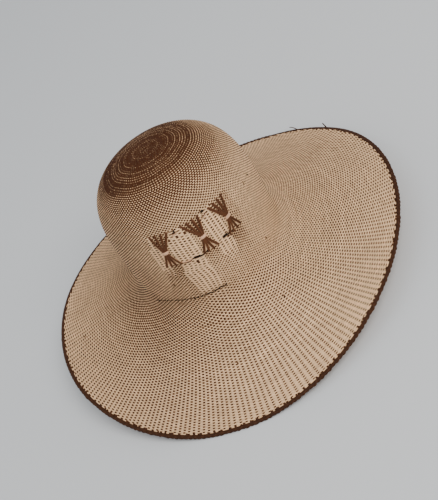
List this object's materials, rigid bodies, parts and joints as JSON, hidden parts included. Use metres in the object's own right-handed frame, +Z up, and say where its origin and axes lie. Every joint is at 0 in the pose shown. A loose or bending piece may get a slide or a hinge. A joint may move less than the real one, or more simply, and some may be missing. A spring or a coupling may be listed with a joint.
{
  "type": "wide-brim straw hat",
  "caption": "Wide-brimmed hat woven in light and dark straw: round leaning crown, waved brim with a dark braided edge, dark tied bunches on the front.",
  "frame": {"origin": "on the floor, under the middle of the brim's box", "axes": "+Z up; -Y is the side with the tied bunches; +X is to their right as seen from in front"},
  "size_m": [0.4406, 0.4254, 0.2053],
  "materials": {
    "straw_weave": "matt woven straw, light over dark strands",
    "dark_straw": "dark brown dyed straw, low sheen",
    "light_straw": "natural pale straw, low sheen"
  },
  "bodies": {
    "root": {"woven_body": "straw_weave", "edge_braid": "dark_straw", "bunch_left": "dark_straw", "bunch_middle": "dark_straw", "bunch_right": "dark_straw", "tie_left": "light_straw", "tie_middle": "light_straw", "tie_right": "light_straw"}
  },
  "joints": []
}
